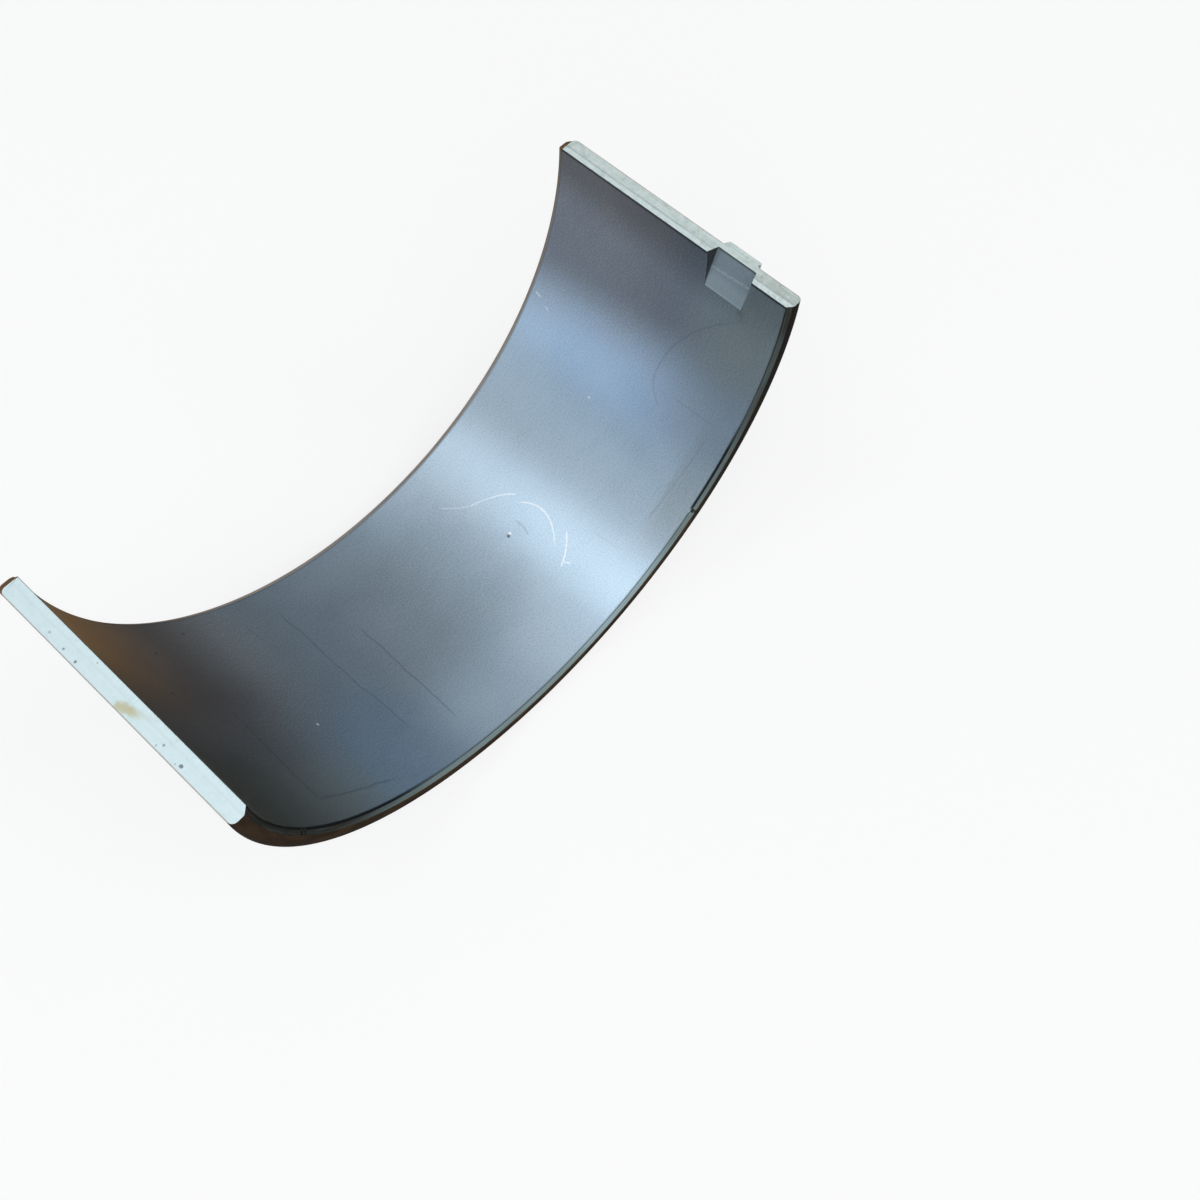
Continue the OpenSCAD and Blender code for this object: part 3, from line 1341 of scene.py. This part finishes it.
    def regions(self, angles: np.ndarray, count: int) -> np.ndarray:
        """Region of each face, in the order of faces.

        Args:
            angles: Angle of each row.
            count: Number of columns.

        Returns:
            Numbers of the regions.
        """
        row, col = np.meshgrid(np.arange(len(angles) - 1), np.arange(count), indexing="ij")
        chain = len(self.end_chain(False))
        half = count // 2 + 1
        inner = (col >= chain - 1) & (col < half - chain)
        outer = (col >= half + chain - 2) & (col < count - chain + 1)
        region = np.where(inner, Region.LINING, np.where(outer, Region.BACK, Region.EDGE))
        place = self.columns[np.clip(col - chain, 0, len(self.columns) - 1)]
        deep = angles[row] > math.acos(self.pocket_length / self.bore_r) - self.least_turn / 2
        slack = 0.001
        first, final = np.array(self.pocket_knots) - slack
        held = (place > first) & (place < final)
        region = np.where(inner & deep & held, Region.POCKET, region)
        caps = np.full(2 * (count // 2), Region.PARTING)
        return np.concatenate([region.ravel(), caps]).astype(np.int32)

    def build(self) -> bpy.types.Object:
        """Builds the mesh: a grid round the section and along the arc, closed by two caps.

        Returns:
            The shell's object, at the origin.
        """
        grid, angles = self.loops()
        rows, count = grid.shape[:2]
        points, faces = grid.reshape(-1, 3), self.faces(rows, count)
        slots = self.regions(angles, count)
        corners = points[faces]
        volume = np.einsum("ij,ij->i", corners[:, 0], np.cross(corners[:, 1], corners[:, 2])).sum()
        if volume < 0.0:
            faces = faces[:, ::-1]
        mesh = bpy.data.meshes.new("bearing_shell_body")
        mesh.from_pydata(points, [], faces)
        mesh.polygons.foreach_set("material_index", slots)
        mesh.polygons.foreach_set("use_smooth", slots != Region.PARTING)
        mesh.update()
        shell = bpy.data.objects.new("bearing_shell_body", mesh)
        bpy.context.collection.objects.link(shell)
        return shell

    def dress(self, shell: bpy.types.Object) -> None:
        """Gives each region of the shell its finish.

        Args:
            shell: The shell's object.
        """
        finishes = {
            Region.LINING: LiningFinish(self.bore_r, self.half_width),
            Region.PARTING: PartingFinish(self.bore_r, self.lug_y),
            Region.EDGE: EdgeFinish(self.bore_r),
            Region.POCKET: PocketFinish(self.lug_y, self.half_floor),
            Region.BACK: BackFinish(self.back_r),
        }
        for region in Region:
            shell.data.materials.append(finishes[region].material())


@dataclass(frozen=True)
class Softbox:
    """Soft light that looks at the shell from one side. Its power is pi * area * radiance."""

    name: str
    side: tuple[float, float, float]
    distance: float
    size: tuple[float, float]
    radiance: float
    colour: tuple[float, float, float] = (1.0, 1.0, 1.0)

    def build(self) -> None:
        """Hangs the light."""
        lamp = bpy.data.lights.new(self.name, "AREA")
        lamp.shape, lamp.color = "RECTANGLE", self.colour
        lamp.size, lamp.size_y = self.size
        lamp.energy = math.pi * math.prod(self.size) * self.radiance
        hung = bpy.data.objects.new(self.name, lamp)
        way = Vector(self.side).normalized()
        turn = way.to_track_quat("Z", "Y").to_matrix().to_4x4()
        hung.matrix_world = Matrix.Translation(way * self.distance) @ turn
        hung.visible_camera = False
        bpy.context.collection.objects.link(hung)


@dataclass(frozen=True)
class Viewpoint:
    """Camera: its place, and the ways to its right and up in the picture."""

    place: tuple[float, float, float] = (-0.06923, -0.09763, 0.17787)
    right: tuple[float, float, float] = (0.67672, -0.73600, 0.01895)
    up: tuple[float, float, float] = (0.65510, 0.61368, 0.44073)
    lens: float = 39.25
    sensor: float = 36.0
    nearest: float = 0.005

    def build(self) -> None:
        """Sets up the camera and makes it the scene's own."""
        data = bpy.data.cameras.new("viewpoint")
        data.lens, data.sensor_width, data.clip_start = self.lens, self.sensor, self.nearest
        camera = bpy.data.objects.new("viewpoint", data)
        right = Vector(self.right).normalized()
        back = right.cross(Vector(self.up)).normalized()
        turn = Matrix((right, back.cross(right), back)).transposed().to_4x4()
        camera.matrix_world = Matrix.Translation(Vector(self.place)) @ turn
        bpy.context.collection.objects.link(camera)
        bpy.context.scene.camera = camera


@dataclass(frozen=True)
class FloorFinish:
    """Matt pale floor that the eye and polished metal see close to white, with its shadows."""

    paint: Colour = (0.96, 0.96, 0.96, 1.0)
    white: float = 0.75

    def material(self) -> bpy.types.Material:
        """Makes the floor's material.

        Returns:
            The material.
        """
        nodes = Nodes("pale_floor")
        path = nodes.add("ShaderNodeLightPath", {}, {}).outputs
        kinds = ("Is Camera Ray", "Is Glossy Ray", "Is Transmission Ray")
        seen = together([Num(nodes, path[kind]) for kind in kinds])
        paint = nodes.add("ShaderNodeBsdfDiffuse", {}, {"Color": self.paint})
        glow = nodes.add("ShaderNodeEmission", {}, {"Strength": 1.0})
        shares = {0: seen * self.white, 1: paint.outputs[0], 2: glow.outputs[0]}
        blend = nodes.add("ShaderNodeMixShader", {}, shares)
        nodes.add("ShaderNodeOutputMaterial", {}, {0: blend.outputs[0]})
        return nodes.material


@dataclass
class Studio:
    """Pale floor, even sky and soft lights."""

    floor_z: float
    reach: float = 40.0
    floor: FloorFinish = FloorFinish()
    sky: Colour = (0.19, 0.2, 0.21, 1.0)
    lights: tuple[Softbox, ...] = (
        Softbox("ceiling", (-0.17, 0.28, 0.92), 1.0, (1.1, 0.8), 0.5, (0.95, 0.98, 1.0)),
        Softbox("window", (-0.335, 0.28, 0.873), 0.9, (0.28, 0.4), 1.3, (0.93, 0.98, 1.0)),
        Softbox("left_wall", (-0.9, 0.26, 0.27), 1.0, (0.8, 0.8), 0.62, (0.82, 0.92, 1.0)),
        Softbox("right_card", (0.6, 0.22, 0.76), 1.0, (0.5, 0.5), 0.3, (0.95, 0.98, 1.0)),
        Softbox("front_fill", (-0.2, -0.7, 0.68), 1.5, (3.6, 2.4), 1.36),
    )

    def build(self) -> None:
        """Lays the floor and sets the light."""
        ends = np.array([-self.reach, self.reach])
        x, y = (part.ravel() for part in np.meshgrid(ends, ends, indexing="ij"))
        mesh = bpy.data.meshes.new("floor")
        mesh.from_pydata(np.stack([x, y, np.full(4, self.floor_z)], axis=1), [], [(0, 2, 3, 1)])
        floor = bpy.data.objects.new("floor", mesh)
        bpy.context.collection.objects.link(floor)
        mesh.materials.append(self.floor.material())
        world = bpy.data.worlds.new("even_sky")
        world.use_nodes = True
        sky = world.node_tree.nodes["Background"].inputs
        sky["Color"].default_value, sky["Strength"].default_value = self.sky, 1.0
        bpy.context.scene.world = world
        bpy.context.scene.view_settings.view_transform = "Standard"
        for light in self.lights:
            light.build()


def main() -> None:
    """Builds the viewpoint, the shell and the studio."""
    logging.basicConfig(level=logging.INFO, format="%(name)s: %(message)s")
    Viewpoint().build()
    low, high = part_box("bearing_shell")
    mounts = {mount["name"]: mount for mount in frame["record"]["mounts"]}
    bore_r = mounts["journal_bore"]["dims"]["r_mm"] * MM
    lug_y = mounts["locating_lug"]["pos_m"][1]
    parts = BearingShell(bore_r, -low[2], high[1], high[0], lug_y)
    shell = parts.build()
    parts.dress(shell)
    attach(shell, "root")
    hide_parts("bearing_shell")
    LOG.info("%s: %d faces", shell.name, len(shell.data.polygons))
    Studio(low[2]).build()


if __name__ == "__main__":
    main()
